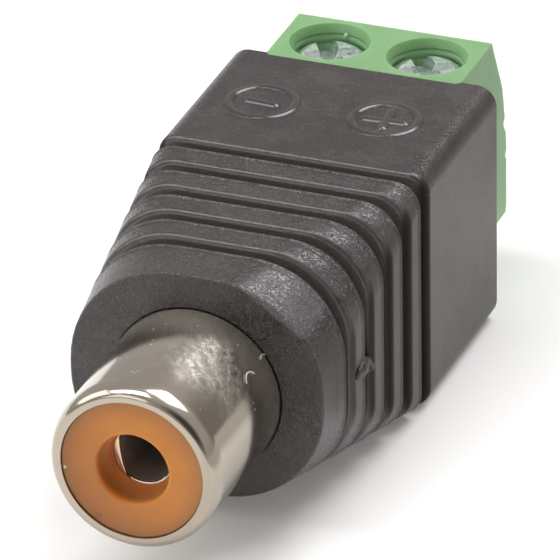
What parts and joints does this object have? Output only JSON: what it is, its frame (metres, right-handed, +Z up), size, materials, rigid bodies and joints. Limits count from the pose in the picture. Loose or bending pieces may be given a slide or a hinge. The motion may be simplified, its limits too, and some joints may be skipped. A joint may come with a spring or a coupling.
{
  "type": "phono socket with screw terminals",
  "caption": "Inline phono socket with a plated barrel and a ribbed black housing, joined to a green screw terminal block that clamps two bare wires",
  "frame": {"origin": "centre of the socket's mouth, on the barrel's axis, in the plane of the rim", "axes": "-Y leaves the socket's mouth, where the plug pulls off; +Y points to the wire entries; +Z points up to the two screws; +X is the side of the plus pole"},
  "size_m": [0.0136, 0.0375, 0.0125],
  "materials": {
    "housing_black": "moulded, satin, with a fine leather grain",
    "plated_barrel": "bright nickel plate on rolled brass, lightly scuffed",
    "insulator_orange": "moulded, satin, amber orange",
    "contact_metal": "tin plated spring metal",
    "tag_metal": "tinned brass",
    "sleeve_white": "plain moulded nylon",
    "wire_red": "insulated link wire",
    "wire_black": "insulated link wire",
    "solder": "bright solder",
    "block_green": "moulded, satin",
    "screw_zinc": "bright zinc plate",
    "cage_zinc": "zinc plate",
    "rail_brass": "tinned brass bar"
  },
  "bodies": {
    "adaptor": {"housing": "housing_black", "barrel": "plated_barrel", "insulator": "insulator_orange", "centre_contact": "contact_metal", "ground_tag": "tag_metal", "retaining_sleeve": "sleeve_white", "wire_plus": "wire_red", "wire_minus": "wire_black", "solder_contact": "solder", "solder_tag": "solder", "solder_rail_plus": "solder", "solder_rail_minus": "solder", "terminal_block": "block_green", "rail_minus": "rail_brass", "rail_plus": "rail_brass"},
    "screw_minus": {"screw_minus": "screw_zinc"},
    "screw_plus": {"screw_plus": "screw_zinc"},
    "cage_minus": {"cage_minus": "cage_zinc"},
    "cage_plus": {"cage_plus": "cage_zinc"}
  },
  "joints": [
    {"name": "cage_minus_lift", "type": "slide", "parent": "adaptor", "child": "cage_minus", "axis": [0, 0, 1], "range_m": [0, 0.0021]},
    {"name": "cage_plus_lift", "type": "slide", "parent": "adaptor", "child": "cage_plus", "axis": [0, 0, 1], "range_m": [0, 0.0021]},
    {"name": "screw_minus_turn", "type": "hinge", "parent": "adaptor", "child": "screw_minus", "pos_m": [-0.0025, 0.03305, 0.004], "axis": [0, 0, -1], "range_deg": [0, 1512.1]},
    {"name": "screw_plus_turn", "type": "hinge", "parent": "adaptor", "child": "screw_plus", "pos_m": [0.0025, 0.03305, 0.004], "axis": [0, 0, -1], "range_deg": [0, 1512.1]}
  ],
  "couplings": [
    {"joint": "screw_minus_turn", "follows": "cage_minus_lift", "rad_per_m": 12566},
    {"joint": "screw_plus_turn", "follows": "cage_plus_lift", "rad_per_m": 12566}
  ]
}
